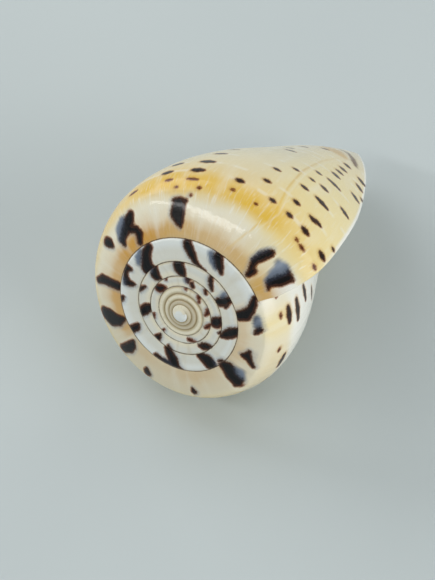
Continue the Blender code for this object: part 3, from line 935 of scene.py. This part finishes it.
def ground_colour(age, along, streaks, clouds):
    """Last whorl's ground: cream, tan patches by the suture, ochre round the shoulder.

    Each patch's strength is a profile across the whorl times a profile round it, and both are
    shifted and roughened by growth streaks.
    """
    roughened = along + (clouds - 0.5) * 0.03 + (streaks - 0.5) * 0.045
    shifted = age + (streaks - 0.5) * 0.02
    # The ramp's ground turns beige between about 200 and 305 degrees back, on the side towards the table:
    # partly its own colour, partly painted shade.
    ramp = bands(age, [
        (0.008, MILK), (0.02, CREAM), (0.07, CREAM), (0.1, IVORY), (0.35, IVORY), (0.55, BEIGE),
        (0.85, BEIGE), (0.94, IVORY)])
    tan_across = bands(roughened, [
        (0.0, 0.9), (0.01, 1.0), (0.026, 0.95), (0.038, 0.6), (0.055, 0.22), (0.08, 0.0)])
    tan_round = bands(shifted, [
        (0.02, 0.9), (0.05, 0.65), (0.09, 0.75), (0.12, 0.65), (0.2, 0.8), (0.26, 0.95),
        (0.29, 1.0), (0.35, 0.95), (0.38, 0.65), (0.42, 0.85), (0.47, 0.8), (0.52, 0.7),
        (0.55, 0.2), (0.59, 0.3), (0.63, 0.15), (0.72, 0.35), (0.8, 0.15), (0.88, 0.35),
        (0.95, 0.35), (1.0, 0.3)])
    warmer = mix(fade(age, 0.22, 0.27), TAN, WARM_TAN)
    ramp = mix(tan_across * tan_round * 0.95, ramp, warmer)

    side = bands(age, [
        (0.08, BUTTER), (0.13, CREAM), (0.7, CREAM), (0.8, IVORY), (0.9, IVORY), (0.94, BUTTER),
        (0.97, IVORY), (1.0, MILK)])
    ochre_across = bands(roughened, [
        (0.092, 0.0), (0.116, 0.55), (0.132, 1.0), (0.162, 0.92), (0.195, 0.4), (0.25, 0.12),
        (0.32, 0.0)])
    ochre_round = bands(shifted, [
        (0.0, 0.25), (0.05, 0.45), (0.07, 0.85), (0.09, 1.0), (0.115, 1.0), (0.15, 0.86), (0.2, 1.0),
        (0.26, 0.95), (0.3, 0.6), (0.72, 0.6), (0.8, 0.34), (0.87, 0.29), (0.91, 0.09), (0.93, 0.15),
        (0.96, 0.08), (1.0, 0.0)])
    side = coated(
        side,
        (fade(along, 0.16, 0.22) * fade(age, 0.76, 0.84), MILK),
        (fade(along, 0.45, 0.95), BEIGE),
        # painted highlight: a thin milk-white line along the lip's edge, down the side
        (fade(age, 0.006, 0.001) * fade(along, 0.12, 0.3), MILK),
        (ochre_across * ochre_round, OCHRE))
    return coated(
        ramp, (fade(roughened, 0.08, 0.122), side), (fade(streaks, 0.5, 0.75) * 0.3, MILK))


def old_ramp_colour(age, across, streaks):
    """Older ramps' ground: whiter outwards, browner each turn, ridged tan and white at the top, and
    painted shade along the penultimate ramp's outer edge.
    """
    younger = bands(across, [
        (0.0, IVORY), (0.12, PEARL), (0.45, PEARL), (0.75, BLUE_WHITE), (0.95, BLUE_WHITE),
        (1.0, OLD_TAN)])
    older = bands(across, [(0.15, IVORY), (0.5, PEARL), (0.82, PEARL), (1.0, OLD_TAN)])
    top = bands(across, [
        (0.0, GROOVE_TAN), (0.15, OLD_TAN), (0.45, IVORY), (0.7, IVORY), (0.88, OLD_TAN),
        (1.0, GROOVE_TAN)])
    top = coated(
        top,
        (fade(age, 5.2, 5.8) * 0.45, GROOVE_TAN),
        (fade(age, 6.85, 7.2), IVORY),
        (fade(age, 7.3, 7.6), BLUE_WHITE))
    return coated(
        younger,
        # painted shade: the penultimate ramp's outer edge turns tan from about 560 degrees back, in the
        # crease at the foot of the last whorl
        (fade(age, 1.55, 1.9) * fade(across, 0.65, 0.95) * 0.4, OLD_TAN),
        (fade(age, 1.8, 2.4), older),
        (fade(age, 3.7, 4.3), top),
        (fade(streaks, 0.5, 0.75) * 0.3, OLD_TAN))


def pigment(tree, colour, on_side, rusty, streaks, grit):
    """Blotches and spots: rusty on the newer side, hazy on the older side, black in the middle.

    The newer side is where the outline, once moved towards the lip, lies farther in.
    """
    plain_dark = mark(tree, "dark")
    newer = fade(plain_dark - mark(tree, "rim"), -0.1, 0.22)
    veil = fade(mark(tree, "haze") + (streaks - 0.5) * 0.7, 0.7, -0.45)
    haze_colour = bands(plain_dark / 2.6, [
        (0.0, DARK_SLATE), (0.3, SLATE), (0.65, PALE_SLATE), (1.0, BLUE_WHITE)])
    softening = larger(veil, 0.3) * (1.0 - newer)
    drawn_in = (plain_dark - softening * 0.35) / (softening * 2.0 + 1.0)
    dark = drawn_in + (grit - 0.5) * 0.35
    inner_edge = mix(rusty * 0.7, mix(veil, DARK_BROWN, DARK_SLATE), RED_BROWN)
    return coated(
        colour,
        (veil * 0.94, haze_colour),
        (fade(dark, 0.6, 0.05) * (1.0 - newer) * 0.4, mix(on_side, PALE_SLATE, TAN)),
        (fade(dark - newer * 0.12, 0.24, -0.08) * (1.0 - veil) * 0.8,
         mix(larger(newer, rusty), UMBER, RUST)),
        (fade(dark, 0.12, -0.18), inner_edge),
        (fade(dark + newer * 0.3, -0.08, -0.44), mix(on_side, BLACK, DEEP_BROWN)))


def shell_finish():
    """Glossy cream shell: bands, growth streaks (the white ones round the shoulder partly painted
    highlight), blotches with a rim and a haze, spots and stains.
    """
    material, tree, shader = new_material("glossy_cream_shell")
    flat = worked_out(tree, "ShaderNodeUVMap", {}, uv_map="growth")
    age = worked_out(tree, "ShaderNodeSeparateXYZ", {0: flat}, "X")
    along = worked_out(tree, "ShaderNodeSeparateXYZ", {0: flat}, "Y")

    streaks = grain(flat, (34.0, 4.0, 1.0), 3.0)
    fine_streaks = grain(flat, (320.0, 22.0, 1.0), 2.0)
    clouds = grain(flat, (11.0, 16.0, 1.0), 3.0)
    dashes = grain(flat, (38.0, 9.0, 1.0), 1.0)
    grit = grain(own_place(tree), 3 * (1.0 / GRIT,), 2.0)

    scar = mark(tree, "scar")
    scar_line = fade(larger(scar, 0.0 - scar), 0.45, 0.0) * (fade(along, 0.24, 0.14) * 0.35 + 0.45)
    beside = scar + 0.8
    beside = fade(larger(beside, 0.0 - beside), 0.35, 0.0)
    shown = bands(along, [
        (0.0, 0.0), (0.04, 0.35), (0.09, 0.45), (0.13, 1.0), (0.4, 1.0), (0.76, 0.0)])
    # Shoulder band, strongest in the first quarter turn back from the lip: it places white streaks and a
    # streaky bump where the window lamp's highlight falls.
    shoulder = bands(along, [
        (0.0, 0.25), (0.05, 0.35), (0.08, 0.9), (0.12, 1.0), (0.15, 0.45), (0.32, 0.2), (1.0, 0.15)])
    shoulder = shoulder * fade(age, 0.45, 0.25)
    dashed = fade(dashes, 0.48, 0.6) * fade(mark(tree, "row"), 0.75, 0.15) * fade(along, 0.14, 0.17)
    colour = coated(
        ground_colour(age, along, streaks, clouds),
        (fade(age, 0.985, 1.01), old_ramp_colour(age, mark(tree, "across"), streaks)),
        (scar_line * shown, mix(fade(along, 0.42, 0.18), TAN, OCHRE)),
        (beside * shown * 0.2, MILK),
        # white growth streaks round the shoulder, partly painted highlight: they lie where the lamp's
        # highlight falls
        (fade(fine_streaks, 0.52, 0.72) * shoulder * 0.5, MILK),
        (dashed * 0.35, MILK))

    on_side = fade(along, 0.1, 0.13)
    rusty = fade(along, 0.096, 0.106) * fade(along, 0.17, 0.155)
    rusty = larger(rusty, fade(age, 2.7, 3.7))
    colour = pigment(tree, colour, on_side, rusty, fine_streaks, grit)

    suture = fade(mark(tree, "suture") + (0.5 - grit) * 0.2, 0.15, 0.03)
    stain = mark(tree, "stain") + (grit - 0.5) * 0.8
    colour = coated(
        colour,
        (suture * fade(age, 4.4, 3.6) * fade(clouds, 0.25, 0.5) * 0.85, DARK_BROWN),
        (fade(mark(tree, "stain_tint"), 1.4, -1.0) * 0.65, TAN),
        (fade(stain, 0.9, 0.2) * 0.4, OLD_TAN),
        (fade(stain, 0.4, -0.35), STAIN_BROWN),
        (mark(tree, "inside"), MILK))

    feed(shader["Base Color"], colour)
    worn = fade(age, 3.8, 4.6) * 0.3
    feed(shader["Roughness"], fine_streaks * 0.2 + 0.12 + worn)
    for name, amount in SHELL_GLOSS.items():
        feed(shader[name], amount)

    dark_relief = fade(mark(tree, "dark"), 0.1, -0.2) * 2.0 + 1.5
    pitted = grit * dark_relief + fine_streaks * (shoulder * 1.5 + 1.0)
    for name, strength in BUMP_STRENGTHS.items():
        inputs = {"Strength": strength, "Distance": BUMP_HEIGHT, "Height": pitted}
        feed(shader[name], worked_out(tree, "ShaderNodeBump", inputs))
    return material


def table_finish():
    """Plain pale table, very slightly uneven in tone."""
    material, tree, shader = new_material("pale_table")
    cloudy = grain(own_place(tree), 3 * (1.0 / TABLE_CLOUD,), 2.0)
    feed(shader["Base Color"], mix(cloudy, *TABLE_TONES))
    feed(shader["Roughness"], TABLE_ROUGHNESS)
    return material


# ==== The studio ====

TABLE_SIZE = 3.0
LAMP_DISTANCE = 1.2
PANEL = 0.9              # side of a square soft panel
WORLD_COLOUR = (0.96, 1.0, 0.98, 1.0)
WORLD_STRENGTH = 0.38
CAMERA_ELEVATION = 50.9  # degrees above the table
CAMERA_HEADING = 29.4    # degrees from straight behind the spire, towards the lip's side
CAMERA_ROLL = 1.45
CAMERA_DISTANCE = 0.552
CAMERA_LENS = 173.8
CAMERA_SENSOR = 36.0
CAMERA_AIM = (-1.3 * MM, -15.1 * MM, 13.3 * MM)  # from the middle of the box's base


def base_middle():
    """Middle of the solid's box, at its lowest point."""
    middle = (SOLID_LOW + SOLID_HIGH) / 2.0
    return Vector((middle[0], middle[1], SOLID_LOW[2]))


def add_camera():
    """Long lens that looks down on the spire from one side."""
    elevation, heading = np.radians(CAMERA_ELEVATION), np.radians(CAMERA_HEADING)
    back = Vector((np.cos(elevation) * np.sin(heading), -np.cos(elevation) * np.cos(heading),
                   np.sin(elevation)))
    camera = bpy.data.objects.new("camera", bpy.data.cameras.new("camera"))
    camera.data.lens = CAMERA_LENS
    camera.data.sensor_width = CAMERA_SENSOR
    aim = base_middle() + Vector(CAMERA_AIM)
    camera.location = aim + back * CAMERA_DISTANCE
    level = (-back).to_track_quat("-Z", "Y").to_matrix()
    roll = Matrix.Rotation(np.radians(CAMERA_ROLL), 3, "Z")
    camera.rotation_euler = (level @ roll).to_euler()
    bpy.context.scene.collection.objects.link(camera)
    bpy.context.scene.camera = camera


def add_lamp(name, toward, length, width, power, run=(1.0, 0.0, 0.0)):
    """Soft lamp that hangs in the direction toward and faces the shell, its length along run."""
    lamp = bpy.data.objects.new(name, bpy.data.lights.new(name, "AREA"))
    lamp.data.shape = "RECTANGLE"
    lamp.data.size = length
    lamp.data.size_y = width
    lamp.data.energy = power
    back = Vector(toward).normalized()
    run = Vector(run)
    run = (run - back * run.dot(back)).normalized()
    lamp.location = base_middle() + back * LAMP_DISTANCE
    lamp.rotation_euler = Matrix((run, back.cross(run), back)).transposed().to_euler()
    bpy.context.scene.collection.objects.link(lamp)


def add_studio():
    """Pale table, even pale surroundings, a strip of window and three soft panels."""
    half = TABLE_SIZE / 2.0
    mesh = bpy.data.meshes.new("table")
    corners = [(-half, -half, 0.0), (half, -half, 0.0), (half, half, 0.0), (-half, half, 0.0)]
    mesh.from_pydata(corners, [], [(0, 1, 2, 3)])
    mesh.materials.append(table_finish())
    table = bpy.data.objects.new("table", mesh)
    table.location.z = SOLID_LOW[2]
    bpy.context.scene.collection.objects.link(table)
    table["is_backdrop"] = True

    world = bpy.data.worlds.new("studio")
    world.use_nodes = True
    sky = world.node_tree.nodes["Background"].inputs
    sky["Color"].default_value = WORLD_COLOUR
    sky["Strength"].default_value = WORLD_STRENGTH
    bpy.context.scene.world = world
    add_lamp("window", (-0.46, -0.64, 0.61), 1.4, 0.08, 4.1, run=(0.93, -0.23, 0.32))
    add_lamp("right_panel", (0.95, 0.0, 0.35), PANEL, PANEL, 8.6, run=(0.0, 1.0, 0.0))
    add_lamp("left_panel", (-0.85, 0.2, 0.5), PANEL, PANEL, 6.6, run=(0.0, 1.0, 0.0))
    add_lamp("back_panel", (0.1, 0.75, 0.66), PANEL, PANEL, 1.8)
    bpy.context.scene.view_settings.view_transform = "Standard"


def main():
    """The painted shell on its table, and the studio round it."""
    shell = bpy.data.objects.new("cone_shell_skin", shell_mesh())
    shell.data.materials.append(shell_finish())
    bpy.context.scene.collection.objects.link(shell)
    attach(shell, "root")
    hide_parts("cone_shell")
    add_studio()
    add_camera()


main()
